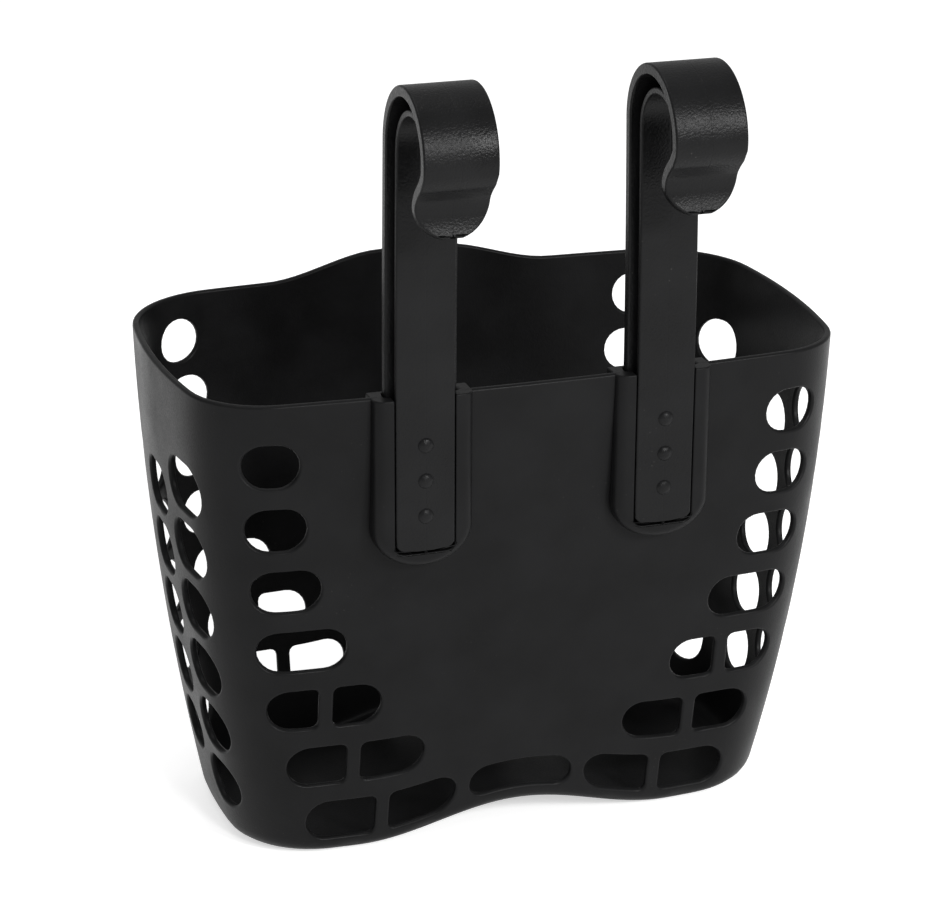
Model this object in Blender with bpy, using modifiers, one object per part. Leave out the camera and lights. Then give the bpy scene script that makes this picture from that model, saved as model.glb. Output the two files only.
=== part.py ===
"""Handlebar basket: a moulded tub with two pockets, and two hooks that slide down into the pockets.

Metres, +Z up, and +Y points away from the handlebar. The tub and the hooks are drawn about the tub's middle and
then carried back together, so the origin ends on the ground under the middle of the whole object.
"""

import math

import bmesh
import bpy
from mathutils import Matrix

# Tub
WIDTH = 0.250
DEPTH = 0.144
HEIGHT = 0.185
WALL = 0.0026
CARRIED_BACK = 0.02025
END_DRAFT, END_BOW = 0.0227, 0.4616
LONG_DRAFT, LONG_BOW = 0.0482, 0.411
LONG_BULGE = 1.2
END_BULGE = 0.270
NEAR_CORNER = 0.030
FAR_CORNER = 0.0395
HEEL_END = 0.0074
HEEL_LONG = 0.0040
ARCH_HEIGHT, ARCH_REACH, ARCH_FADE = 0.0107, 0.062, 0.080
HUMP_HEIGHT, HUMP_FLAT, HUMP_REACH, HUMP_FADE = 0.0088, 0.0118, 0.0574, 0.045
HUMP_X = -0.005
LEVELS = (0.0, 0.0007, 0.0022, 0.0045, 0.0078, 0.018, 0.042, 0.080, 0.125, HEIGHT)

# Holes. A row is (height of its middle, edge nearer the middle, edge nearer the end).
NEAR_ROWS = (
    (0.1620, 0.0875, 0.1078),
    (0.1376, 0.0848, 0.1067),
    (0.1132, 0.0793, 0.1045),
    (0.0886, 0.0696, 0.1022),
    (0.0639, 0.0562, 0.0980),
    (0.0390, 0.0390, 0.0903),
    (0.0144, 0.0255, 0.0824),
)
FAR_ROWS = (
    (0.1673, 0.0854, 0.1020),
    (0.1446, 0.0820, 0.1000),
    (0.1217, 0.0775, 0.0985),
    (0.0988, 0.0705, 0.0965),
    (0.0759, 0.0600, 0.0935),
    (0.0530, 0.0465, 0.0890),
    (0.0302, 0.0320, 0.0830),
)
NEAR_BARS = {4: 0.0767, 5: 0.0656, 6: 0.0537}
FAR_BARS = {4: 0.0785, 5: 0.0685, 6: 0.0570}
FAR_X = -0.0065
BAR_WIDTH = 0.0054
HOLE_HEIGHT = 0.0165
MIDDLE_SLOT = (-0.0198, 0.0198, 0.0068, 0.0210)
BAR_CORNER = 0.0025
# An end column is (y of its middle, turn of its wall, width, height of its top hole, spacing, count).
END_HOLE_HEIGHT = 0.0190
END_COLUMNS = (
    (-0.0340, -10.0, 0.0300, 0.1460, 0.0242, 6),
    (0.0020, 0.0, 0.0290, 0.1340, 0.0242, 5),
    (0.0472, 25.0, 0.0220, 0.1500, 0.0242, 6),
)

# Pockets and hooks
HOOK_SPACING = 0.0892
POCKET_HALF_WIDTH = 0.0182
POCKET_FRONT = -0.0750
POCKET_BACK = -0.0633
POCKET_BOTTOM = 0.1215
POCKET_ROUND = 0.0145
POCKET_EDGE = 0.0022
GAP = 0.0003
BAND_WIDTH = 0.026
BAND_REAR = -0.0657
BAND_THICK = 0.0040
FLANGE_WIDTH = 0.0215
FLANGE_FRONT = -0.0752
FLANGE_THICK = 0.0025
WEB_WIDTH = 0.0036
ARM_BOTTOM = 0.1277
ARM_ROUND = 0.0030
LOOP_Y, LOOP_Z, LOOP_RADIUS = -0.0891, 0.2766, 0.0234
EYE_Y, EYE_Z, EYE_RADIUS = -0.0907, 0.2738, 0.0155
TAB_BOTTOM = 0.2495
TAB_ROUND = 0.0125
BUTTON_HEIGHTS = (0.1676, 0.1545, 0.1414)
BUTTON_RADIUS = 0.0030
BUTTON_RISE = 0.0012


def smooth(value):
    value = min(max(value, 0.0), 1.0)
    return value * value * (3 - 2 * value)


def arc(y, z, radius, start, end, steps):
    """Points of an arc, with its angles in degrees."""
    angles = [math.radians(start + (end - start) * step / steps) for step in range(steps + 1)]
    return [(y + radius * math.cos(angle), z + radius * math.sin(angle)) for angle in angles]


def heel(radius, z):
    """How far the wall has come in where it turns under, at this height."""
    return radius - math.sqrt(radius**2 - (radius - z) ** 2) if z < radius else 0.0


def arch(x, z):
    """How far the bottom is lifted between the two feet."""
    lift = ARCH_HEIGHT * 0.5 * (1 + math.cos(math.pi * min(abs(x) / ARCH_REACH, 1.0)))
    return lift * smooth(1 - z / ARCH_FADE)


def hump(x, y, z):
    """How far the far wall's rim is raised in its middle."""
    if y <= 0:
        return 0.0
    across = smooth((HUMP_REACH - abs(x - HUMP_X)) / (HUMP_REACH - HUMP_FLAT))
    return HUMP_HEIGHT * across * smooth(1 - (HEIGHT - z) / HUMP_FADE)


def half_sizes(z):
    drop = HEIGHT - z
    half_width = WIDTH / 2 - END_DRAFT * drop - END_BOW * drop**2 - heel(HEEL_END, z)
    half_depth = DEPTH / 2 - LONG_DRAFT * drop - LONG_BOW * drop**2 - heel(HEEL_LONG, z)
    return half_width, half_depth


def quarter(half_width, half_depth, corner):
    """A quarter of the plan, from the middle of the long wall to the middle of the end wall.

    A long arc, a corner arc and an end arc meet smoothly, so the corner's middle is where two circles cross.
    """
    long_y = half_depth - LONG_BULGE
    end_x = half_width - END_BULGE
    long_reach, end_reach = LONG_BULGE - corner, END_BULGE - corner
    apart = math.hypot(end_x, long_y)
    along = (long_reach**2 - end_reach**2 + apart**2) / (2 * apart)
    aside = math.sqrt(long_reach**2 - along**2)
    unit_x, unit_y = end_x / apart, -long_y / apart
    corner_x = along * unit_x + aside * unit_y
    corner_y = long_y + along * unit_y - aside * unit_x
    first = math.degrees(math.atan2(corner_y - long_y, corner_x))
    second = math.degrees(math.atan2(corner_y, corner_x - end_x))
    return (
        arc(0, long_y, LONG_BULGE, 90, first, 5)[:-1]
        + arc(corner_x, corner_y, corner, first, second, 5)[:-1]
        + arc(end_x, 0, END_BULGE, second, 0, 3)
    )


def ring(z):
    """The plan at this height, counter-clockwise from the middle of the near wall."""
    half_width, half_depth = half_sizes(z)
    near = quarter(half_width, half_depth, NEAR_CORNER)
    far = quarter(half_width, half_depth, FAR_CORNER)
    right = [(x, -y) for x, y in near] + far[-2::-1]
    left = [(-x, y) for x, y in right[-2:0:-1]]
    return [(x, y, z + arch(x, z) + hump(x, y, z)) for x, y in right + left]


def new_object(name, mesh, collection):
    made = bpy.data.objects.new(name, mesh)
    collection.objects.link(made)
    return made


def tub_shell(collection):
    """The tub's outer face, lofted from the ground up through its plans, with the floor across the lowest."""
    mesh = bpy.data.meshes.new("tub")
    form = bmesh.new()
    rings = [[form.verts.new(point) for point in ring(z)] for z in LEVELS]
    count = len(rings[0])
    for lower, upper in zip(rings, rings[1:]):
        for here in range(count):
            there = (here + 1) % count
            form.faces.new((lower[here], lower[there], upper[there], upper[here]))
    floor = rings[0]
    half = count // 2
    for step in range(half // 2):
        for near, far, way in ((step, half - step, 1), (count - step, half + step, -1)):
            corners = [near % count, near + way, far - way, far]
            form.faces.new([floor[corner] for corner in dict.fromkeys(corners)])
    bmesh.ops.recalc_face_normals(form, faces=form.faces)
    form.to_mesh(mesh)
    form.free()
    shell = new_object("tub", mesh, collection)
    solid = shell.modifiers.new("wall", "SOLIDIFY")
    solid.thickness = WALL
    solid.offset = -1
    solid.use_even_offset = True
    return shell


def prism(name, points, half_depth, placement, collection):
    """A closed outline extruded both ways, as a mesh, with its x and y carried to where placement says."""
    curve = bpy.data.curves.new(name, "CURVE")
    curve.dimensions = "2D"
    curve.fill_mode = "BOTH"
    curve.extrude = half_depth
    spline = curve.splines.new("POLY")
    spline.points.add(len(points) - 1)
    for point, (x, y) in zip(spline.points, points):
        point.co = (x, y, 0, 1)
    spline.use_cyclic_u = True
    guide = new_object(name, curve, collection)
    bpy.context.view_layer.update()
    mesh = bpy.data.meshes.new_from_object(guide.evaluated_get(bpy.context.evaluated_depsgraph_get()))
    bpy.data.objects.remove(guide)
    form = bmesh.new()
    form.from_mesh(mesh)
    bmesh.ops.remove_doubles(form, verts=form.verts, dist=0.00001)
    form.transform(placement)
    bmesh.ops.recalc_face_normals(form, faces=form.faces)
    form.to_mesh(mesh)
    form.free()
    return new_object(name, mesh, collection)


def facing_y(y):
    """Carries an outline's (x, z) to the upright plane at this y."""
    return Matrix.Translation((0, y, 0)) @ Matrix.Rotation(math.pi / 2, 4, "X")


def facing_x(x):
    """Carries an outline's (y, z) to the upright plane at this x."""
    return Matrix.Translation((x, 0, 0)) @ Matrix.Rotation(math.pi / 2, 4, "Z") @ Matrix.Rotation(
        math.pi / 2, 4, "X")


def rounded(left, right, bottom, top, left_radius, right_radius, steps=4):
    """A rounded rectangle whose two ends have their own corner radius."""
    return (
        arc(left + left_radius, bottom + left_radius, left_radius, 180, 270, steps)
        + arc(right - right_radius, bottom + right_radius, right_radius, 270, 360, steps)
        + arc(right - right_radius, top - right_radius, right_radius, 0, 90, steps)
        + arc(left + left_radius, top - left_radius, left_radius, 90, 180, steps)
    )


def row_outlines(rows, bars):
    """The right half of a long wall's holes: one slot in each row, or two where a bar crosses it."""
    end = HOLE_HEIGHT / 2 - 0.0001
    for index, (middle, inner, outer) in enumerate(rows):
        bottom, top = middle - HOLE_HEIGHT / 2, middle + HOLE_HEIGHT / 2
        if index in bars:
            bar = bars[index]
            yield rounded(inner, bar - BAR_WIDTH / 2, bottom, top, end, BAR_CORNER)
            yield rounded(bar + BAR_WIDTH / 2, outer, bottom, top, BAR_CORNER, end)
        else:
            yield rounded(inner, outer, bottom, top, end, end)


def lifted(outline, along):
    return [(x + along, z + arch(x + along, z)) for x, z in outline]


def long_wall_cutters(name, rows, bars, along, y, collection):
    left, right, bottom, top = MIDDLE_SLOT
    outlines = list(row_outlines(rows, bars))
    outlines += [[(-x, z) for x, z in reversed(outline)] for outline in outlines]
    outlines.append(rounded(left, right, bottom, top, (top - bottom) / 2.2, (top - bottom) / 2.2))
    return [
        prism(f"{name}_{index}", lifted(outline, along), 0.030, facing_y(y), collection)
        for index, outline in enumerate(outlines)
    ]


def end_wall_cutters(collection):
    cutters = []
    for side in (-1, 1):
        for column, (y, turn, width, top_hole, spacing, count) in enumerate(END_COLUMNS):
            for index in range(count):
                middle = top_hole - spacing * index
                half_width, half_depth = half_sizes(middle)
                narrowing = half_depth / (DEPTH / 2)
                half = width / 2 * narrowing
                end = min(END_HOLE_HEIGHT / 2, half) - 0.0001
                outline = rounded(-half, half, middle - END_HOLE_HEIGHT / 2, middle + END_HOLE_HEIGHT / 2, end, end)
                place = Matrix.Translation((side * (half_width - 0.004), y * narrowing, 0))
                place @= Matrix.Rotation(math.radians(side * turn), 4, "Z") @ facing_x(0)
                cutters.append(prism(f"end_hole_{side}_{column}_{index}", outline, 0.016, place, collection))
    return cutters


def join(name, objects):
    """Puts several closed bodies in one object."""
    form = bmesh.new()
    for one in objects:
        form.from_mesh(one.data)
    mesh = bpy.data.meshes.new(name)
    form.to_mesh(mesh)
    form.free()
    made = new_object(name, mesh, objects[0].users_collection[0])
    for one in objects:
        bpy.data.objects.remove(one)
    return made


def boolean(target, operation, other):
    modifier = target.modifiers.new(other.name, "BOOLEAN")
    modifier.operation = operation
    modifier.object = other
    modifier.use_self = False


def pocket_outline(half_width, bottom, round_height, top):
    """A U: straight sides and an elliptical bottom."""
    turn = [math.radians(180 + 180 * step / 12) for step in range(13)]
    curve = [(half_width * math.cos(a), bottom + round_height + round_height * math.sin(a)) for a in turn]
    return curve + [(half_width, top), (-half_width, top)]


def moved(points, x):
    return [(x + px, pz) for px, pz in points]


def add_pocket(tub, x, name, cutters):
    """A U-shaped housing on the near wall, and the T-shaped slot down into it from the top."""
    middle = (POCKET_FRONT + POCKET_BACK) / 2
    outline = moved(pocket_outline(POCKET_HALF_WIDTH, POCKET_BOTTOM, POCKET_ROUND, HEIGHT), x)
    housing = prism(f"{name}_housing", outline, (POCKET_BACK - POCKET_FRONT) / 2, facing_y(middle), cutters)
    edges = housing.modifiers.new("edges", "BEVEL")
    edges.width = POCKET_EDGE
    edges.segments = 2
    edges.limit_method = "ANGLE"
    edges.angle_limit = math.radians(60)
    boolean(tub, "UNION", housing)
    lip = BAND_REAR - BAND_THICK - GAP
    above = HEIGHT + 0.02
    for part, half_width, rear, front in (
        ("band_slot", BAND_WIDTH / 2 + GAP, BAND_REAR + GAP, lip),
        ("flange_slot", FLANGE_WIDTH / 2 + GAP, lip + 0.0005, POCKET_FRONT - 0.01),
    ):
        outline = moved(rounded(-half_width, half_width, ARM_BOTTOM - GAP, above, ARM_ROUND, ARM_ROUND), x)
        cutter = prism(f"{name}_{part}", outline, (rear - front) / 2, facing_y((rear + front) / 2), cutters)
        boolean(tub, "DIFFERENCE", cutter)


def make_tub(parts, cutters):
    tub = tub_shell(parts)
    add_pocket(tub, -HOOK_SPACING / 2, "left", cutters)
    add_pocket(tub, HOOK_SPACING / 2, "right", cutters)
    holes = long_wall_cutters("near_hole", NEAR_ROWS, NEAR_BARS, 0.0, -0.063, cutters)
    holes += long_wall_cutters("far_hole", FAR_ROWS, FAR_BARS, FAR_X, 0.063, cutters)
    boolean(tub, "DIFFERENCE", join("long_wall_holes", holes))
    boolean(tub, "DIFFERENCE", join("end_wall_holes", end_wall_cutters(cutters)))
    return tub


def band_outline():
    """The wide rear band: up the back of the arm, over the bar, and down the front to the thumb tab."""
    inner = LOOP_RADIUS - BAND_THICK
    outside = arc(LOOP_Y, LOOP_Z, LOOP_RADIUS, 0, 190, 22)
    outside += [(-0.1095, 0.2692), (-0.1064, 0.2664), (-0.1040, 0.2645), (-0.1028, 0.2618)]
    outside += [(-0.1021, 0.2588), (-0.1022, 0.2562), (-0.1030, 0.2530), (-0.1040, TAB_BOTTOM)]
    inside = [(-0.1006, TAB_BOTTOM), (-0.0992, 0.2540), (-0.0985, 0.2580), (-0.0988, 0.2620)]
    inside += [(-0.1004, 0.2656), (-0.1030, 0.2690), (-0.1050, 0.2715)]
    inside += arc(LOOP_Y, LOOP_Z, inner, 190, 0, 18)
    foot = [(BAND_REAR - BAND_THICK, ARM_BOTTOM), (BAND_REAR, ARM_BOTTOM)]
    return [(LOOP_Y + LOOP_RADIUS, LOOP_Z)] + outside[1:] + inside + foot


def flange_outline():
    """The narrow front flange: up the front of the arm and round the inside of the eye."""
    rear = FLANGE_FRONT + FLANGE_THICK
    outer = arc(EYE_Y, EYE_Z, EYE_RADIUS + FLANGE_THICK, 0, 190, 18)
    inner = arc(EYE_Y, EYE_Z, EYE_RADIUS, 190, 0, 18)
    return outer + inner + [(FLANGE_FRONT, ARM_BOTTOM), (rear, ARM_BOTTOM)]


def web_outline():
    """The thin web that joins the band and the flange down the middle of the arm."""
    outside = arc(LOOP_Y, LOOP_Z, LOOP_RADIUS - BAND_THICK / 2, 0, 180, 18)
    inside = arc(EYE_Y, EYE_Z, EYE_RADIUS + FLANGE_THICK / 2, 180, 0, 18)
    foot = [(FLANGE_FRONT + FLANGE_THICK / 2, ARM_BOTTOM + ARM_ROUND / 3)]
    foot.append((BAND_REAR - BAND_THICK / 2, ARM_BOTTOM + ARM_ROUND / 3))
    return outside + inside + foot


def tab_trimmer(name, x, cutters):
    """Rounds the end of the thumb tab."""
    end = [math.radians(180 * step / 12) for step in range(13)]
    curve = [(BAND_WIDTH / 2 * math.cos(a), TAB_BOTTOM + TAB_ROUND - TAB_ROUND * math.sin(a)) for a in end]
    side, low, high = BAND_WIDTH, TAB_BOTTOM - 0.01, TAB_BOTTOM + TAB_ROUND
    outline = curve + [(-side, high), (-side, low), (side, low), (side, high)]
    return prism(f"{name}_tab_trim", moved(outline, x), 0.012, facing_y(-0.105), cutters)


def foot_trimmer(name, x, half_width, rear, front, cutters):
    """Rounds the two lower corners of an upright strip of the arm."""
    low = ARM_BOTTOM - 0.004
    outline = arc(half_width - ARM_ROUND, ARM_BOTTOM + ARM_ROUND, ARM_ROUND, 0, -90, 4)
    outline += arc(-half_width + ARM_ROUND, ARM_BOTTOM + ARM_ROUND, ARM_ROUND, 270, 180, 4)
    outline += [(-half_width - 0.004, ARM_BOTTOM + ARM_ROUND), (-half_width - 0.004, low)]
    outline += [(half_width + 0.004, low), (half_width + 0.004, ARM_BOTTOM + ARM_ROUND)]
    return prism(name, moved(outline, x), (rear - front) / 2, facing_y((rear + front) / 2), cutters)


def make_buttons(name, x, cutters):
    """Three low domes on the front of the arm."""
    form = bmesh.new()
    for z in BUTTON_HEIGHTS:
        place = Matrix.Translation((x, FLANGE_FRONT + 0.0006, z)) @ Matrix.Rotation(math.pi / 2, 4, "X")
        place @= Matrix.Diagonal((1, 1, (BUTTON_RISE + 0.0006) / BUTTON_RADIUS, 1))
        bmesh.ops.create_uvsphere(form, u_segments=16, v_segments=8, radius=BUTTON_RADIUS, matrix=place)
    mesh = bpy.data.meshes.new(f"{name}_buttons")
    form.to_mesh(mesh)
    form.free()
    return new_object(f"{name}_buttons", mesh, cutters)


def make_hook(name, x, parts, cutters):
    hook = prism(name, band_outline(), BAND_WIDTH / 2, facing_x(x), parts)
    boolean(hook, "DIFFERENCE", tab_trimmer(name, x, cutters))
    band = (BAND_WIDTH / 2, BAND_REAR + 0.001, BAND_REAR - BAND_THICK - 0.001)
    boolean(hook, "DIFFERENCE", foot_trimmer(f"{name}_band_foot", x, *band, cutters))
    flange = prism(f"{name}_flange", flange_outline(), FLANGE_WIDTH / 2, facing_x(x), cutters)
    front = (FLANGE_WIDTH / 2, FLANGE_FRONT + FLANGE_THICK + 0.001, FLANGE_FRONT - 0.001)
    boolean(flange, "DIFFERENCE", foot_trimmer(f"{name}_flange_foot", x, *front, cutters))
    boolean(hook, "UNION", flange)
    boolean(hook, "UNION", prism(f"{name}_web", web_outline(), WEB_WIDTH / 2, facing_x(x), cutters))
    boolean(hook, "UNION", make_buttons(name, x, cutters))
    return hook


def plastic(name, grey, roughness):
    material = bpy.data.materials.new(name)
    material.use_nodes = True
    shader = material.node_tree.nodes["Principled BSDF"]
    shader.inputs["Base Color"].default_value = (grey, grey, grey, 1)
    shader.inputs["Roughness"].default_value = roughness
    shader.inputs["Metallic"].default_value = 0.0
    return material


def main():
    for old in list(bpy.data.objects):
        bpy.data.objects.remove(old)
    parts = bpy.data.collections.new("handlebar_basket")
    cutters = bpy.data.collections.new("cutters")
    bpy.context.scene.collection.children.link(parts)
    bpy.context.scene.collection.children.link(cutters)
    tub = make_tub(parts, cutters)
    tub.data.materials.append(plastic("tub_plastic", 0.012, 0.42))
    hooks = [
        make_hook("left_hook", -HOOK_SPACING / 2, parts, cutters),
        make_hook("right_hook", HOOK_SPACING / 2, parts, cutters),
    ]
    for hook in hooks:
        hook.data.materials.append(plastic(f"{hook.name}_plastic", 0.014, 0.36))
    for made in (tub, *hooks):
        made.data.shade_smooth()
        made.data.set_sharp_from_angle(angle=math.radians(35))
    for cutter in cutters.objects:
        cutter.hide_render = True
        cutter.display_type = "WIRE"
    for drawn in (*parts.objects, *cutters.objects):
        drawn.location.y += CARRIED_BACK


main()
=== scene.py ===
import math

import bmesh
import bpy
import numpy as np
from mathutils import Matrix, Vector
from mathutils.geometry import delaunay_2d_cdt


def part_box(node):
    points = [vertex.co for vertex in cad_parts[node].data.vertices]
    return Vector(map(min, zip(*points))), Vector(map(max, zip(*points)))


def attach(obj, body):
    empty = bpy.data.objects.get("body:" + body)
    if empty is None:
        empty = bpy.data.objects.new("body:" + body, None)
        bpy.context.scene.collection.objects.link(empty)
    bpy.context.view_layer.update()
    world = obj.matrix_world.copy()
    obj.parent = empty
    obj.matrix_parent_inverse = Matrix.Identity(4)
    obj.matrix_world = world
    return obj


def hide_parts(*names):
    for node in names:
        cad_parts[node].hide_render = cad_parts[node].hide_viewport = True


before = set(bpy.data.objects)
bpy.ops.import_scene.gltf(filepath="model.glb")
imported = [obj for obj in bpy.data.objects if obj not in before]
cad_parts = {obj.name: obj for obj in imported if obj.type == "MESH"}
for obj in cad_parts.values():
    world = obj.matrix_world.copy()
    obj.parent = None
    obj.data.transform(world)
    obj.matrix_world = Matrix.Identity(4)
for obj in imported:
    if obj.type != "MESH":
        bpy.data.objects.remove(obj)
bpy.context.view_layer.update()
bpy.ops.object.select_all(action="DESELECT")
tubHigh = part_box("tub")[1]
hookLow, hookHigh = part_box("left_hook")
print("frame loaded")

tub = {
    "halfWidth": tubHigh.x, "halfDepth": 0.072, "height": 0.185, "wall": 0.0026,
    "endDraft": 0.0227, "endBow": 0.4616,  # how the end walls taper and bow
    "longDraft": 0.0482, "longBow": 0.411,  # and the long walls
    "longBulge": 1.2, "endBulge": 0.270, "nearCorner": 0.030, "farCorner": 0.0395,  # radii of the plan
    "endHeel": 0.0074, "longHeel": 0.0040,  # radii where the walls turn under
    "archHeight": 0.0107, "archReach": 0.062, "archFade": 0.080,  # the bottom's lift between the feet
    "humpX": -0.005, "humpHeight": 0.0088, "humpFlat": 0.0118,  # the far rim's rise
    "humpReach": 0.0574, "humpFade": 0.045,
    "edgeRound": 0.00105, "lipBand": 0.0026, "holeRing": 0.0018,  # what trims the rim and the holes
    "columns": 160, "heelRows": 6, "rowStep": 0.005, "floorStep": 0.006,  # how finely the sheets are meshed
    "roundness": 0.73,  # the plan's length against that of a square as wide
    "seam": 0.4665517241,  # turn at which the flat sheet starts, clear of every hole
    "ringGap": 0.0016, "notchGap": 0.0012,  # room kept free of grid points beside holes and notches
    "floorShare": 0.955,  # how far out the floor's grid goes
    "above": 0.01,  # how far cuts run past the top of the sheet
}
middleY = tubHigh.y - tub["halfDepth"]


def smooth(value):
    value = np.clip(value, 0.0, 1.0)
    return value * value * (3 - 2 * value)


def heelInset(radius, z):
    turned = np.minimum(z, radius)
    return radius - np.sqrt(np.maximum(radius**2 - (radius - turned) ** 2, 0.0))


def halfSizes(z):
    drop = tub["height"] - z
    width = tub["halfWidth"] - tub["endDraft"] * drop - tub["endBow"] * drop**2
    depth = tub["halfDepth"] - tub["longDraft"] * drop - tub["longBow"] * drop**2
    return width - heelInset(tub["endHeel"], z), depth - heelInset(tub["longHeel"], z)


# A quarter of the plan: a long arc, a corner arc and an end arc that meet smoothly. walk goes 0 to 1.
def quarterPoint(walk, z, corner):
    halfWidth, halfDepth = halfSizes(z)
    longY, endX = halfDepth - tub["longBulge"], halfWidth - tub["endBulge"]
    longReach, endReach = tub["longBulge"] - corner, tub["endBulge"] - corner
    apart = np.hypot(endX, longY)
    along = (longReach**2 - endReach**2 + apart**2) / (2 * apart)
    aside = np.sqrt(longReach**2 - along**2)
    unitX, unitY = endX / apart, -longY / apart
    cornerX, cornerY = along * unitX + aside * unitY, longY + along * unitY - aside * unitX
    first = np.arctan2(cornerY - longY, cornerX)
    second = np.arctan2(cornerY, cornerX - endX)
    longLength = tub["longBulge"] * (math.pi / 2 - first)
    cornerLength = corner * (first - second)
    endLength = tub["endBulge"] * second
    walked = walk * (longLength + cornerLength + endLength)
    longTurn = math.pi / 2 - walked / tub["longBulge"]
    cornerTurn = first - (walked - longLength) / corner
    endTurn = second - (walked - longLength - cornerLength) / tub["endBulge"]
    x = np.where(walked < longLength, tub["longBulge"] * np.cos(longTurn), np.where(
        walked < longLength + cornerLength, cornerX + corner * np.cos(cornerTurn),
        endX + tub["endBulge"] * np.cos(endTurn)))
    y = np.where(walked < longLength, longY + tub["longBulge"] * np.sin(longTurn), np.where(
        walked < longLength + cornerLength, cornerY + corner * np.sin(cornerTurn),
        tub["endBulge"] * np.sin(endTurn)))
    return x, y


# A point of the outer face. turn goes 0 to 1 from the middle of the near wall, by the right end.
def wallPoint(turn, z):
    turn, z = np.broadcast_arrays(np.mod(turn, 1.0), z)
    quarter = np.floor(turn * 4).astype(int) % 4
    part = turn * 4 - np.floor(turn * 4)
    walk = np.where(quarter % 2 == 0, part, 1 - part)
    nearX, nearY = quarterPoint(walk, z, tub["nearCorner"])
    farX, farY = quarterPoint(walk, z, tub["farCorner"])
    far = (quarter == 1) | (quarter == 2)
    x = np.where(far, farX, nearX) * np.where(quarter < 2, 1, -1)
    y = np.where(far, farY, -nearY)
    return np.stack([x, y + middleY, z + archLift(x, z) + humpLift(x, y, z)], -1)


def archLift(x, z):
    across = 0.5 * (1 + np.cos(math.pi * np.minimum(np.abs(x) / tub["archReach"], 1.0)))
    return tub["archHeight"] * across * smooth(1 - z / tub["archFade"])


def humpLift(x, y, z):
    across = smooth((tub["humpReach"] - np.abs(x - tub["humpX"])) / (tub["humpReach"] - tub["humpFlat"]))
    rise = tub["humpHeight"] * across * smooth(1 - (tub["height"] - z) / tub["humpFade"])
    return np.where(y > 0, rise, 0.0)


# Heights are unrolled along the turned-under heel, so that the flat sheet keeps its proportions.
def unrolled(z):
    heel = tub["endHeel"]
    turned = heel * np.arccos(1 - np.minimum(z, heel) / heel)
    return turned + np.maximum(z - heel, 0.0)


def rolled(v):
    heel = tub["endHeel"]
    quarterTurn = heel * math.pi / 2
    turned = heel * (1 - np.cos(np.minimum(v, quarterTurn) / heel))
    return np.where(v < quarterTurn, turned, v - quarterTurn + heel)


holes = {
    "height": 0.0165, "barWidth": 0.0054, "barCorner": 0.0025, "step": 0.0022,
    # (height of the middle, edge nearer the wall's middle, edge nearer its end, middle of a bar or None)
    "nearRows": (
        (0.1620, 0.0875, 0.1078, None), (0.1376, 0.0848, 0.1067, None), (0.1132, 0.0793, 0.1045, None),
        (0.0886, 0.0696, 0.1022, None), (0.0639, 0.0562, 0.0980, 0.0767), (0.0390, 0.0390, 0.0903, 0.0656),
        (0.0144, 0.0255, 0.0824, 0.0537)),
    "farRows": (
        (0.1673, 0.0854, 0.1020, None), (0.1446, 0.0820, 0.1000, None), (0.1217, 0.0775, 0.0985, None),
        (0.0988, 0.0705, 0.0965, None), (0.0759, 0.0600, 0.0935, 0.0785), (0.0530, 0.0465, 0.0890, 0.0685),
        (0.0302, 0.0320, 0.0830, 0.0570)),
    "farX": -0.0065,  # the far wall's holes stand this far to one side
    "middleSlot": (0.0139, 0.0396, 0.0142),  # height of its middle, width, height
    "endHeight": 0.0190,
    # (y of the middle, turn in degrees, width, height of the top hole, spacing, count)
    "endColumns": ((-0.0340, -10.0, 0.0300, 0.1460, 0.0242, 6), (0.0020, 0.0, 0.0290, 0.1340, 0.0242, 5),
                   (0.0472, 25.0, 0.0220, 0.1500, 0.0242, 6)),
}


# Outline of a rounded slot, with the outward direction at each point.
def slotOutline(left, right, bottom, top, leftRadius, rightRadius):
    corners = ((left, bottom, leftRadius, 180), (right, bottom, rightRadius, 270),
               (right, top, rightRadius, 0), (left, top, leftRadius, 90))
    points, outward = [], []
    for x, z, radius, start in corners:
        cx = x + radius if x == left else x - radius
        cz = z + radius if z == bottom else z - radius
        steps = max(3, round(radius * math.pi / 2 / holes["step"]))
        for step in range(steps + 1):
            angle = math.radians(start + 90 * step / steps)
            direction = (math.cos(angle), math.sin(angle))
            point = (cx + radius * direction[0], cz + radius * direction[1])
            if step == 0 and points:
                addStraight(points, outward, point, direction)
            points.append(point)
            outward.append(direction)
    addStraight(points, outward, points[0], outward[0])
    return np.array(points), np.array(outward)


def addStraight(points, outward, end, direction):
    start = points[-1]
    steps = int(math.dist(start, end) / holes["step"])
    for step in range(1, steps):
        share = step / steps
        points.append((start[0] + (end[0] - start[0]) * share, start[1] + (end[1] - start[1]) * share))
        outward.append(direction)


def turnsAt(across, heights, centre, axis, start, stop):
    found = []
    turns = np.linspace(start, stop, 400)
    for value, z in zip(across, heights):
        spots = wallPoint(turns, z)
        along = (spots[:, 0] - centre[0]) * axis[0] + (spots[:, 1] - centre[1]) * axis[1]
        order = 1 if along[-1] > along[0] else -1
        found.append(np.interp(value, along[::order], turns[::order]))
    return np.array(found)


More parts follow.
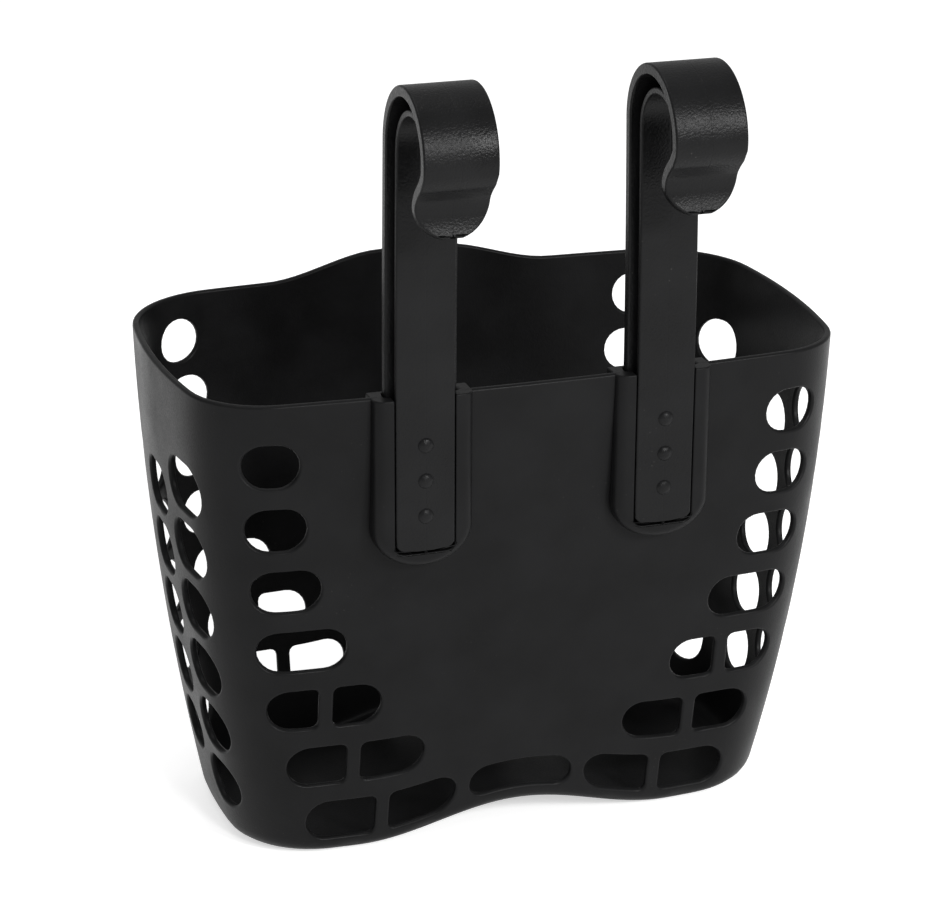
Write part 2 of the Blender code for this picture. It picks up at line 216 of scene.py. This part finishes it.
# Every hole as (ring outline, true outline), both in the flat sheet's turn and unrolled height.
def holeOutlines():
    end = holes["height"] / 2 - 0.0001
    for rows, along, start in ((holes["nearRows"], 0.0, -0.25), (holes["farRows"], holes["farX"], 0.25)):
        slots = []
        for middle, inner, outer, bar in rows:
            bottom, top = middle - holes["height"] / 2, middle + holes["height"] / 2
            if bar is None:
                slots.append((inner, outer, bottom, top, end, end))
            else:
                slots.append((inner, bar - holes["barWidth"] / 2, bottom, top, end, holes["barCorner"]))
                slots.append((bar + holes["barWidth"] / 2, outer, bottom, top, holes["barCorner"], end))
        slots += [(-right, -left, bottom, top, rightRadius, leftRadius)
                  for left, right, bottom, top, leftRadius, rightRadius in slots]
        middle, width, height = holes["middleSlot"]
        radius = height / 2.2
        slots.append((-width / 2, width / 2, middle - height / 2, middle + height / 2, radius, radius))
        for slot in slots:
            yield sheetLoops(slotOutline(*slot), (along, 0), (1, 0), start, start + 0.5)
    for side in (1, -1):
        for y, degrees, width, topHole, spacing, count in holes["endColumns"]:
            for index in range(count):
                middle = topHole - spacing * index
                halfWidth, halfDepth = halfSizes(middle)
                narrowing = halfDepth / tub["halfDepth"]
                half = width / 2 * narrowing
                end = min(holes["endHeight"] / 2, half) - 0.0001
                turned = math.radians(side * degrees)
                axis = (-math.sin(turned), math.cos(turned))
                centre = (side * (halfWidth - 0.004), middleY + y * narrowing)
                rise = holes["endHeight"] / 2
                slot = (-half, half, middle - rise, middle + rise, end, end)
                low = 0.20 if degrees > 0 else 0.15  # where this column's part of the wall starts
                start = low if side == 1 else 1 - low - 0.16
                yield sheetLoops(slotOutline(*slot), centre, axis, start, start + 0.16)


def sheetLoops(outline, centre, axis, start, stop):
    points, outward = outline
    loops = []
    for grown in (tub["holeRing"], 0.0):
        spots = points + outward * grown
        turns = turnsAt(spots[:, 0], spots[:, 1], centre, axis, start, stop)
        loops.append(np.stack([turns, unrolled(spots[:, 1])], -1))
    x, y = loops[0].T
    clockwise = np.sum(x * np.roll(y, -1) - y * np.roll(x, -1)) < 0
    return [loop[::-1] if clockwise else loop for loop in loops]


def inside(points, loop):
    x, y = points[:, 0], points[:, 1]
    found = np.zeros(len(points), bool)
    for (x0, y0), (x1, y1) in zip(loop, np.roll(loop, -1, 0)):
        crosses = (y0 > y) != (y1 > y)
        if y0 != y1:
            found ^= crosses & (x < (x1 - x0) * (y - y0) / (y1 - y0) + x0)
    return found


# The notch that each pocket stands in, as a loop that runs past the top of the sheet.
def notchLoop(x, topV):
    half = pocket["halfWidth"] - pocket["notchInset"]
    low, rise = hook["armBottom"] - 0.0022, pocket["bottomRound"]
    heights = np.linspace(low + rise, rolled(topV), 11)
    curve = np.radians(np.linspace(180, 360, 15))
    left = np.stack([np.full(11, x - half), heights[::-1]], -1)
    bottom = np.stack([x + half * np.cos(curve), low + rise + rise * np.sin(curve)], -1)[1:-1]
    right = np.stack([np.full(11, x + half), heights], -1)
    outline = np.concatenate([left, bottom, right])
    turns = turnsAt(outline[:, 0], outline[:, 1], (0, 0), (1, 0), -0.25, 0.25)
    return np.stack([turns, unrolled(outline[:, 1])], -1)


# The same notch, closed above the sheet.
def overTop(loop):
    lift = (0, tub["above"])
    return np.concatenate([[loop[0] + lift], loop, [loop[-1] + lift]])


# The walls as one flat sheet with its holes and notches cut, then wrapped round the tub.
def makeSheet():
    perimeter = 8 * tub["halfWidth"] * tub["roundness"]
    topV = float(unrolled(tub["height"] - tub["lipBand"]))
    seam = tub["seam"]
    loops = list(holeOutlines())
    notches = [notchLoop(side * hook["spacing"] / 2, topV) for side in (-1, 1)]
    columns = np.linspace(seam, seam + 1, tub["columns"] + 1)
    heelRows = np.linspace(0, tub["endHeel"] * math.pi / 2, tub["heelRows"])
    wallRows = np.linspace(heelRows[-1], topV, round((topV - heelRows[-1]) / tub["rowStep"]))
    rows = np.concatenate([heelRows, wallRows[1:]])
    grid = np.stack(np.meshgrid(columns, rows), -1).reshape(-1, 2)
    grid[:, 0] *= perimeter
    edges, cut = [], []
    kept = np.ones(len(grid), bool)

    def place(loop):
        placed = loop.copy()
        placed[:, 0] = (seam + np.mod(placed[:, 0] - seam, 1.0)) * perimeter
        return placed

    border = (grid[:, 0] == grid[:, 0].min()) | (grid[:, 0] == grid[:, 0].max())
    border |= (grid[:, 1] == grid[:, 1].min())
    for ring, _ in loops:
        ring = place(ring)
        middle = ring.mean(0)
        reach = np.linalg.norm(ring - middle, axis=1, keepdims=True)
        kept &= ~inside(grid, middle + (ring - middle) * (1 + tub["ringGap"] / reach)) | border
        cut.append((ring, True))
    for notch in notches:
        notch = place(notch)
        wide = notch.copy()
        wide[:, 1] = np.where(wide[:, 1] > topV - 1e-6, topV + tub["above"], wide[:, 1])
        wide[:, 0] += np.sign(wide[:, 0] - wide[:, 0].mean()) * tub["notchGap"]
        kept &= ~inside(grid, wide)
        cut.append((notch, False))
    flat = [tuple(point) for point in grid[kept]]
    for loop, closed in cut:
        first = len(flat)
        flat += [tuple(point) for point in loop]
        count = len(loop)
        edges += [(first + i, first + (i + 1) % count) for i in range(count if closed else count - 1)]
    points, _, faces, _, _, _ = delaunay_2d_cdt(flat, edges, [], 0, 1e-7)
    points = np.array([tuple(point) for point in points])
    faces = [list(face) for face in faces]
    middles = np.array([points[face].mean(0) for face in faces])
    drop = np.zeros(len(faces), bool)
    for loop, closed in cut:
        drop |= inside(middles, loop if closed else overTop(loop))
    faces = [face for face, gone in zip(faces, drop) if not gone]
    # The lip above the sheet, and a ring of four-sided faces round each hole.
    top = [i for i in {i for face in faces for i in face} if abs(points[i, 1] - topV) < 1e-6]
    top.sort(key=lambda i: points[i, 0])
    lipV = float(unrolled(tub["height"]))
    allPoints = [tuple(point) for point in points]
    lip = {}
    for i in top:
        lip[i] = len(allPoints)
        allPoints.append((points[i, 0], lipV))
    for here, there in zip(top, top[1:]):
        middle = np.array([[(points[here, 0] + points[there, 0]) / 2, topV - 0.0005]])
        if not any(inside(middle, overTop(loop))[0] for loop, closed in cut if not closed):
            faces.append([here, there, lip[there], lip[here]])
    for ring, hole in loops:
        ring, hole = place(ring), place(hole)
        first, count = len(allPoints), len(ring)
        allPoints += [tuple(point) for point in ring] + [tuple(point) for point in hole]
        for i in range(count):
            j = (i + 1) % count
            faces.append([first + i, first + j, first + count + j, first + count + i])
    flatPoints = np.array(allPoints)
    placed = wallPoint(flatPoints[:, 0] / perimeter, rolled(flatPoints[:, 1]))
    return placed, faces, wallPoint(columns[:-1], np.zeros(tub["columns"]))


def makeFloor(border):
    step = tub["floorStep"]
    halfWidth, halfDepth = halfSizes(0.0)
    xs = np.arange(-halfWidth + step, halfWidth, step)
    ys = np.arange(-halfDepth + step, halfDepth, step) + middleY
    grid = np.stack(np.meshgrid(xs, ys), -1).reshape(-1, 2)
    centre = np.array([0.0, middleY])
    grid = grid[inside(grid, centre + (border[:, :2] - centre) * tub["floorShare"])]
    flat = [tuple(point) for point in border[:, :2]] + [tuple(point) for point in grid]
    count = len(border)
    edges = [(i, (i + 1) % count) for i in range(count)]
    points, _, faces, _, _, _ = delaunay_2d_cdt(flat, edges, [], 1, 1e-7)
    points = np.array([tuple(point) for point in points])
    placed = np.column_stack([points, archLift(points[:, 0], np.zeros(len(points)))])
    return placed, [list(face)[::-1] for face in faces]


def newObject(name, points, faces):
    mesh = bpy.data.meshes.new(name)
    mesh.from_pydata([tuple(map(float, point)) for point in points], [], faces)
    made = bpy.data.objects.new(name, mesh)
    bpy.context.scene.collection.objects.link(made)
    return made


def activate(piece):
    bpy.ops.object.select_all(action="DESELECT")
    piece.select_set(True)
    bpy.context.view_layer.objects.active = piece


def faceOutwards(piece):
    activate(piece)
    bpy.ops.object.mode_set(mode="EDIT")
    bpy.ops.mesh.select_all(action="SELECT")
    bpy.ops.mesh.normals_make_consistent(inside=False)
    bpy.ops.object.mode_set(mode="OBJECT")


def applyAll(piece):
    activate(piece)
    for modifier in list(piece.modifiers):
        bpy.ops.object.modifier_apply(modifier=modifier.name)


def roundEdges(piece, width, segments, angle):
    bevel = piece.modifiers.new("roundEdges", "BEVEL")
    bevel.width = width
    bevel.segments = segments
    bevel.limit_method = "ANGLE"
    bevel.angle_limit = math.radians(angle)
    bevel.use_clamp_overlap = False
    bevel.harden_normals = True
    bevel.miter_outer = "MITER_ARC"


def makeTub():
    wallPoints, wallFaces, border = makeSheet()
    floorPoints, floorFaces = makeFloor(border)
    offset = len(wallPoints)
    points = np.concatenate([wallPoints, floorPoints])
    faces = wallFaces + [[i + offset for i in face] for face in floorFaces]
    piece = newObject("tubShell", points, faces)
    activate(piece)
    bpy.ops.object.mode_set(mode="EDIT")
    bpy.ops.mesh.select_all(action="SELECT")
    bpy.ops.mesh.remove_doubles(threshold=0.00002)
    bpy.ops.object.mode_set(mode="OBJECT")
    solid = piece.modifiers.new("wall", "SOLIDIFY")
    solid.thickness = tub["wall"]
    solid.offset = -1
    solid.use_even_offset = True
    applyAll(piece)
    bpy.ops.object.shade_smooth()
    roundEdges(piece, tub["edgeRound"], 3, 50)
    applyAll(piece)
    return piece


pocket = {
    "halfWidth": 0.0182, "front": -0.0750, "back": -0.0633, "bottom": 0.1215, "bottomRound": 0.0145,
    "frontRound": 0.0042, "edgeRound": 0.00055, "notchInset": 0.0034,
}


def slotCutter(name, x, halfWidth, rear, front):
    top, low, corner = tub["height"] + 0.02, hook["armBottom"] - hook["gap"], hook["footRound"]
    points, _ = slotOutline(-halfWidth, halfWidth, low, top, corner, corner)
    rearSide = [(x + px, rear + middleY, pz) for px, pz in points]
    frontSide = [(x + px, front + middleY, pz) for px, pz in points]
    count = len(points)
    faces = [list(range(count))[::-1], list(range(count, 2 * count))]
    faces += [[i, (i + 1) % count, count + (i + 1) % count, count + i] for i in range(count)]
    cutter = newObject(name, rearSide + frontSide, faces)
    faceOutwards(cutter)
    return cutter


def makePocket(name, x):
    bottomZ = pocket["bottom"] + pocket["bottomRound"]
    curve = [math.radians(180 + 180 * step / 32) for step in range(33)]
    half, rise = pocket["halfWidth"], pocket["bottomRound"]
    outline = [(half * math.cos(a), bottomZ + rise * math.sin(a)) for a in curve]
    outline += [(half, tub["height"]), (-half, tub["height"])]
    count = len(outline)
    front = [(x + px, pocket["front"] + middleY, pz) for px, pz in outline]
    piece = newObject(name, front, [list(range(count))])
    activate(piece)
    bpy.ops.object.mode_set(mode="EDIT")
    bpy.ops.mesh.select_all(action="SELECT")
    depth = pocket["back"] - pocket["front"]
    bpy.ops.mesh.extrude_region_move(TRANSFORM_OT_translate={"value": (0, depth, 0)})
    bpy.ops.mesh.select_all(action="SELECT")
    bpy.ops.mesh.normals_make_consistent(inside=False)
    bpy.ops.mesh.select_all(action="DESELECT")
    bpy.ops.mesh.select_mode(type="EDGE")
    form = bmesh.from_edit_mesh(piece.data)
    for edge in form.edges:
        level = all(abs(v.co.y - pocket["front"] - middleY) < 1e-5 for v in edge.verts)
        atTop = all(abs(v.co.z - tub["height"]) < 1e-5 for v in edge.verts)
        if level and not atTop:
            edge.select_set(True)
    bmesh.update_edit_mesh(piece.data)
    bpy.ops.mesh.bevel(offset=pocket["frontRound"], segments=7, profile=0.5)
    bpy.ops.object.mode_set(mode="OBJECT")
    lip = hook["bandRear"] - hook["bandThick"] - hook["gap"]
    for part, halfWidth, rear, front in (
            ("bandSlot", hook["bandWidth"] / 2 + hook["gap"], hook["bandRear"] + hook["gap"], lip),
            ("flangeSlot", hook["flangeWidth"] / 2 + hook["gap"], lip + 0.0005, pocket["front"] - 0.01)):
        cutter = slotCutter(part, x, halfWidth, rear, front)
        cut = piece.modifiers.new(part, "BOOLEAN")
        cut.operation = "DIFFERENCE"
        cut.object = cutter
        applyAll(piece)
        bpy.data.objects.remove(cutter)
    bpy.ops.object.shade_smooth()
    roundEdges(piece, pocket["edgeRound"], 3, 40)
    applyAll(piece)
    return piece


hook = {
    "spacing": 0.0892, "gap": 0.0003, "bandWidth": 0.026, "bandRear": -0.0657, "bandThick": 0.0040,
    "flangeWidth": 0.0215, "flangeFront": -0.0752, "flangeThick": 0.0025, "webWidth": 0.0036,
    "armBottom": hookLow.z, "footRound": 0.0030, "edgeRound": 0.0007,
    "loop": (-0.0889, 0.2766, 0.0212),  # y, z and radius of the band's middle line
    "eye": (-0.0907, 0.2738, 0.0155),  # y, z and inside radius of the flange's loop
    "neck": ((-0.1073, 0.2704), (-0.1047, 0.2680), (-0.1021, 0.2650), (-0.1007, 0.2617), (-0.1003, 0.2583),
             (-0.1009, 0.2545), (-0.1022, 0.2502)),
    "tabRound": 0.0125, "ridge": -0.00009, "ridgeHalf": 0.00022, "leanFrom": 0.005,
    "leftLean": (0.0010, 0.0, -0.0013), "rightLean": (-0.0007, 0.0022, -0.0006),  # how far each top is off
    "buttons": (0.1676, 0.1545, 0.1414), "buttonRadius": 0.0030, "buttonRise": 0.0012,
    "buttonSink": 0.0006, "webInset": 0.002,
}


# The paths that a ribbon follows: an eased run through points, a straight arm and an arc.
def easedRun(points, steps):
    run = []
    ends = [points[0]] + list(points) + [points[-1]]
    for a, b, c, d in zip(ends, ends[1:], ends[2:], ends[3:]):
        for step in range(steps):
            t = step / steps
            run.append(tuple(
                0.5 * (2 * q + (r - p) * t + (2 * p - 5 * q + 4 * r - s) * t**2
                       + (3 * q - p - 3 * r + s) * t**3)
                for p, q, r, s in zip(a, b, c, d)))
    return run + [points[-1]]


def armRun(y, low, high, roundness):
    ends = [low + roundness * share for share in (0, 0.04, 0.14, 0.3, 0.55, 1.0)]
    return [(y, z) for z in ends] + [(y, z) for z in np.linspace(low + roundness, high, 26)[1:]]


def arcRun(centreY, centreZ, radius, start, stop, steps):
    turns = np.radians(np.linspace(start, stop, steps + 1))
    return [(centreY + radius * math.cos(a), centreZ + radius * math.sin(a)) for a in turns]


# A strip whose length follows the path and whose width narrows at rounded ends.
def makeRibbon(name, x, path, width, thickness, footRound, tipRound, ridge):
    path = np.array(path)
    walked = np.concatenate([[0], np.cumsum(np.linalg.norm(np.diff(path, axis=0), axis=1))])
    left = walked[-1] - walked
    half = np.full(len(path), width / 2)
    foot = np.clip(1 - walked / footRound, 0, 1)
    half -= footRound * (1 - np.sqrt(1 - foot**2 * 0.999))
    if tipRound:
        tip = np.clip(1 - left / tipRound, 0, 1)
        half = np.minimum(half, width / 2 * np.sqrt(1 - tip**2 * 0.93))
    along = np.gradient(path, axis=0)
    along /= np.linalg.norm(along, axis=1, keepdims=True)
    outward = np.stack([along[:, 1], -along[:, 0]], -1)
    columns = 9
    bpy.ops.object.select_all(action="DESELECT")
    bpy.ops.mesh.primitive_grid_add(x_subdivisions=columns - 1, y_subdivisions=len(path) - 1, size=1)
    piece = bpy.context.object
    piece.name = piece.data.name = name
    ordered = sorted(piece.data.vertices, key=lambda v: (round(v.co.y, 5), v.co.x))
    for i, point in enumerate(path):
        line = min(hook["ridgeHalf"], half[i] / 6)
        across = (-half[i], -half[i] / 2, -line * 1.7, -line, 0, line, line * 1.7, half[i] / 2, half[i])
        for vertex, dx in zip(ordered[i * columns:(i + 1) * columns], across):
            y, z = point + outward[i] * (thickness / 2 + (ridge if dx == 0 else 0.0))
            vertex.co = (x + dx, y + middleY, z)
    solid = piece.modifiers.new("thickness", "SOLIDIFY")
    solid.thickness = thickness
    solid.offset = 1
    solid.use_even_offset = True
    applyAll(piece)
    faceOutwards(piece)
    bpy.ops.object.shade_smooth()
    roundEdges(piece, hook["edgeRound"], 3, 50)
    applyAll(piece)
    return piece


def makeHook(name, x, lean):
    loopY, loopZ, loopRadius = hook["loop"]
    bandY = hook["bandRear"] - hook["bandThick"] / 2
    bandPath = armRun(bandY, hook["armBottom"], loopZ - hook["webInset"], hook["footRound"])
    bandPath += arcRun(loopY, loopZ, loopRadius, 0, 186, 48)
    bandPath += easedRun(hook["neck"], 5)
    band = makeRibbon(name, x, bandPath, hook["bandWidth"], hook["bandThick"], hook["footRound"],
                      hook["tabRound"], hook["ridge"])
    eyeY, eyeZ, eyeRadius = hook["eye"]
    flangeY = hook["flangeFront"] + hook["flangeThick"] / 2
    flangePath = armRun(flangeY, hook["armBottom"], eyeZ - hook["webInset"], hook["footRound"])
    flangePath += arcRun(eyeY, eyeZ, eyeRadius + hook["flangeThick"] / 2, 0, 190, 48)
    flange = makeRibbon(name + "Flange", x, flangePath[::-1], hook["flangeWidth"], hook["flangeThick"],
                        0.0002, hook["footRound"], hook["ridge"])
    inset = hook["webInset"]
    webPath = armRun(bandY, hook["armBottom"] + inset, loopZ - inset, inset)
    webPath += arcRun(loopY, loopZ, loopRadius, 0, 180, 48)
    innerPath = armRun(flangeY, hook["armBottom"] + inset, eyeZ - inset, inset)
    innerPath += arcRun(eyeY, eyeZ, eyeRadius + hook["flangeThick"] / 2, 0, 180, 48)
    count = len(webPath)
    half = hook["webWidth"] / 2
    points = [(x + side * half, y + middleY, z)
              for side in (-1, 1) for run in (webPath, innerPath) for y, z in run]
    faces = []
    for i in range(count - 1):
        a, b, c, d = (start + i for start in (0, count, 2 * count, 3 * count))
        faces += [[a, a + 1, b + 1, b], [c, d, d + 1, c + 1], [a, c, c + 1, a + 1], [b, b + 1, d + 1, d]]
    faces += [[0, count, 3 * count, 2 * count], [count - 1, 3 * count - 1, 4 * count - 1, 2 * count - 1]]
    web = newObject(name + "Web", points, faces)
    faceOutwards(web)
    bpy.ops.object.shade_smooth_by_angle(angle=math.radians(35))
    pieces = [band, flange, web]
    for z in hook["buttons"]:
        bpy.ops.object.select_all(action="DESELECT")
        bpy.ops.mesh.primitive_uv_sphere_add(
            segments=32, ring_count=20, radius=hook["buttonRadius"], enter_editmode=True)
        bpy.ops.mesh.select_all(action="SELECT")
        flatness = (hook["buttonRise"] + hook["buttonSink"]) / hook["buttonRadius"]
        bpy.ops.transform.resize(value=(1, flatness, 1))
        bpy.ops.transform.translate(value=(x, hook["flangeFront"] + hook["buttonSink"] + middleY, z))
        bpy.ops.object.mode_set(mode="OBJECT")
        bpy.ops.object.shade_smooth()
        pieces.append(bpy.context.object)
    bpy.ops.object.select_all(action="DESELECT")
    for part in pieces:
        part.select_set(True)
    bpy.context.view_layer.objects.active = band
    bpy.ops.object.join()
    low = tub["height"] + hook["leanFrom"]
    for vertex in band.data.vertices:  # above the rim the arm bends a little, as the real ones do
        vertex.co += Vector(lean) * max(0.0, (vertex.co.z - low) / (hookHigh.z - low)) ** 1.5
    return band


# Moulded grain: a fine speckle, soft clouds of duller and shinier skin, and a few pale dust specks.
def makeMouldedSkin():
    group = bpy.data.node_groups.new("mouldedSkin", "ShaderNodeTree")
    for label, value in (("Grain Size", 1400.0), ("Cloud Size", 38.0), ("Roughness", 0.4), ("Dust", 0.5)):
        socket = group.interface.new_socket(label, in_out="INPUT", socket_type="NodeSocketFloat")
        socket.default_value = value
    group.interface.new_socket("Colour", in_out="INPUT", socket_type="NodeSocketColor")
    group.interface.new_socket("Colour", in_out="OUTPUT", socket_type="NodeSocketColor")
    group.interface.new_socket("Roughness", in_out="OUTPUT", socket_type="NodeSocketFloat")
    group.interface.new_socket("Height", in_out="OUTPUT", socket_type="NodeSocketFloat")
    nodes, link = group.nodes, group.links.new
    given, result = nodes.new("NodeGroupInput"), nodes.new("NodeGroupOutput")
    place = nodes.new("ShaderNodeTexCoord").outputs["Object"]

    def noise(size, detail):
        made = nodes.new("ShaderNodeTexNoise")
        made.inputs["Detail"].default_value = detail
        link(place, made.inputs["Vector"])
        if isinstance(size, float):
            made.inputs["Scale"].default_value = size
        else:
            link(size, made.inputs["Scale"])
        return made.outputs["Fac"]

    def ranged(value, low, high, toLow, toHigh):
        made = nodes.new("ShaderNodeMapRange")
        for label, number in (("From Min", low), ("From Max", high), ("To Min", toLow), ("To Max", toHigh)):
            made.inputs[label].default_value = number
        link(value, made.inputs["Value"])
        return made.outputs["Result"]

    def combined(operation, first, second):
        made = nodes.new("ShaderNodeMath")
        made.operation = operation
        for socket, value in zip(made.inputs, (first, second)):
            if isinstance(value, float):
                socket.default_value = value
            else:
                link(value, socket)
        return made.outputs["Value"]

    def blended(kind, share, first, second):
        made = nodes.new("ShaderNodeMix")
        made.data_type = "RGBA"
        made.blend_type = kind
        link(share, made.inputs["Factor"])
        for label, value in (("A", first), ("B", second)):
            socket = [s for s in made.inputs if s.name == label and s.type == "RGBA"][0]
            if isinstance(value, tuple):
                socket.default_value = value
            else:
                link(value, socket)
        return [s for s in made.outputs if s.type == "RGBA"][0]

    grain = noise(given.outputs["Grain Size"], 2.0)
    clouds = noise(given.outputs["Cloud Size"], 4.0)
    flow = noise(9.0, 2.0)  # broad marks that the plastic leaves as it fills the mould
    mottle = combined("ADD", ranged(clouds, 0.3, 0.7, -0.06, 0.06), ranged(grain, 0.3, 0.7, -0.05, 0.05))
    mottle = combined("ADD", mottle, ranged(flow, 0.3, 0.7, -0.03, 0.03))
    link(combined("ADD", mottle, given.outputs["Roughness"]), result.inputs["Roughness"])
    link(combined("ADD", ranged(grain, 0.0, 1.0, 0.0, 1.0), ranged(clouds, 0.0, 1.0, 0.0, 0.6)),
         result.inputs["Height"])
    worn = (0.011, 0.0112, 0.0118, 1)
    shade = blended("MIX", ranged(clouds, 0.35, 0.7, 0.0, 0.35), given.outputs["Colour"], worn)
    specks = nodes.new("ShaderNodeTexVoronoi")
    specks.inputs["Scale"].default_value = 330.0
    link(place, specks.inputs["Vector"])
    patches = ranged(noise(24.0, 1.0), 0.55, 0.68, 0.0, 1.0)
    dust = combined("MULTIPLY", ranged(specks.outputs["Distance"], 0.05, 0.11, 1.0, 0.0), patches)
    dust = combined("MULTIPLY", dust, given.outputs["Dust"])
    link(blended("MIX", dust, shade, (0.055, 0.053, 0.050, 1)), result.inputs["Colour"])
    return group


plastics = {
    "tub": {"grey": 0.0040, "roughness": 0.42, "grainSize": 1500.0, "grainDepth": 0.00008,
            "dust": 0.25, "specular": 0.092},
    "hook": {"grey": 0.0042, "roughness": 0.34, "grainSize": 1300.0, "grainDepth": 0.00026,
             "dust": 0.6, "specular": 0.112},
}


def plastic(name, grey, roughness, grainSize, grainDepth, dust, specular):
    material = bpy.data.materials.new(name)
    material.use_nodes = True
    nodes, link = material.node_tree.nodes, material.node_tree.links.new
    shader = nodes["Principled BSDF"]
    shader.inputs["Specular IOR Level"].default_value = specular
    skin = nodes.new("ShaderNodeGroup")
    skin.node_tree = mouldedSkin
    for label, value in (("Colour", (grey, grey, grey * 1.04, 1)), ("Roughness", roughness),
                         ("Grain Size", grainSize), ("Dust", dust)):
        skin.inputs[label].default_value = value
    bump = nodes.new("ShaderNodeBump")
    bump.inputs["Strength"].default_value = 0.6
    bump.inputs["Distance"].default_value = grainDepth
    link(skin.outputs["Height"], bump.inputs["Height"])
    link(bump.outputs["Normal"], shader.inputs["Normal"])
    link(skin.outputs["Colour"], shader.inputs["Base Color"])
    link(skin.outputs["Roughness"], shader.inputs["Roughness"])
    return material


mouldedSkin = makeMouldedSkin()
tubShell = makeTub()
print("tub shell", len(tubShell.data.polygons))
pockets = [makePocket("leftPocket", -hook["spacing"] / 2), makePocket("rightPocket", hook["spacing"] / 2)]
print("pockets", [len(piece.data.polygons) for piece in pockets])
leftHook = makeHook("leftHook", -hook["spacing"] / 2, hook["leftLean"])
rightHook = makeHook("rightHook", hook["spacing"] / 2, hook["rightLean"])
print("hooks", len(leftHook.data.polygons))

tubPlastic = plastic("tubPlastic", **plastics["tub"])
hookPlastic = plastic("hookPlastic", **plastics["hook"])
for piece in (tubShell, *pockets):
    piece.data.materials.clear()
    piece.data.materials.append(tubPlastic)
    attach(piece, "basket")
    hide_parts("tub")
for piece, node in ((leftHook, "left_hook"), (rightHook, "right_hook")):
    piece.data.materials.clear()
    piece.data.materials.append(hookPlastic)
    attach(piece, node)
    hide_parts(node)

studio = {
    "cameraPlace": (-0.3429, -0.99035, 0.5358), "cameraYaw": 18.628, "cameraPitch": 20.618,
    "cameraRoll": 0.266, "lens": 115.6, "floorSize": 12.0, "floorGlow": 0.57, "skyGlow": 0.55,
    # name: (place, what it points at, size, watts)
    "lamps": {"topLamp": ((-0.2, 0.2, 1.7), (0, 0, 0.15), 0.7, 5),
              "frontLamp": ((0.16, -1.50, 0.95), (0, 0, 0.26), 0.26, 10),
              "sideLamp": ((0.66, -1.35, 0.92), (0, 0, 0.26), 0.26, 15)},
}
bpy.ops.object.select_all(action="DESELECT")
bpy.ops.mesh.primitive_plane_add(size=studio["floorSize"], location=(0, 0, -0.0005))
floor = bpy.context.object
floor.name = "studioFloor"
floorPaint = bpy.data.materials.new("floorPaint")
floorPaint.use_nodes = True
for label, value in (("Base Color", (0.8, 0.8, 0.8, 1)), ("Roughness", 0.9),
                     ("Emission Color", (1, 1, 1, 1)), ("Emission Strength", studio["floorGlow"])):
    floorPaint.node_tree.nodes["Principled BSDF"].inputs[label].default_value = value
floor.data.materials.append(floorPaint)

world = bpy.data.worlds.new("studio")
world.use_nodes = True
world.node_tree.nodes["Background"].inputs["Color"].default_value = (1, 1, 1, 1)
world.node_tree.nodes["Background"].inputs["Strength"].default_value = studio["skyGlow"]
bpy.context.scene.world = world


def softBox(name, place, aim, size, power):
    bpy.ops.object.light_add(type="AREA", location=place)
    lamp = bpy.context.object
    lamp.name = name
    lamp.data.size = size
    lamp.data.energy = power
    direction = Vector(aim) - lamp.location
    lamp.rotation_euler = direction.to_track_quat("-Z", "Y").to_euler()


for name, lamp in studio["lamps"].items():
    softBox(name, *lamp)
bpy.context.scene.view_settings.view_transform = "Standard"

bpy.ops.object.camera_add(location=studio["cameraPlace"])
camera = bpy.context.object
camera.data.sensor_width = 36
camera.data.lens = studio["lens"]
turned = (Matrix.Rotation(-math.radians(studio["cameraYaw"]), 4, "Z")
          @ Matrix.Rotation(math.radians(90 - studio["cameraPitch"]), 4, "X")
          @ Matrix.Rotation(math.radians(studio["cameraRoll"]), 4, "Z"))
camera.rotation_euler = turned.to_euler()
bpy.context.scene.camera = camera
print("studio ready")
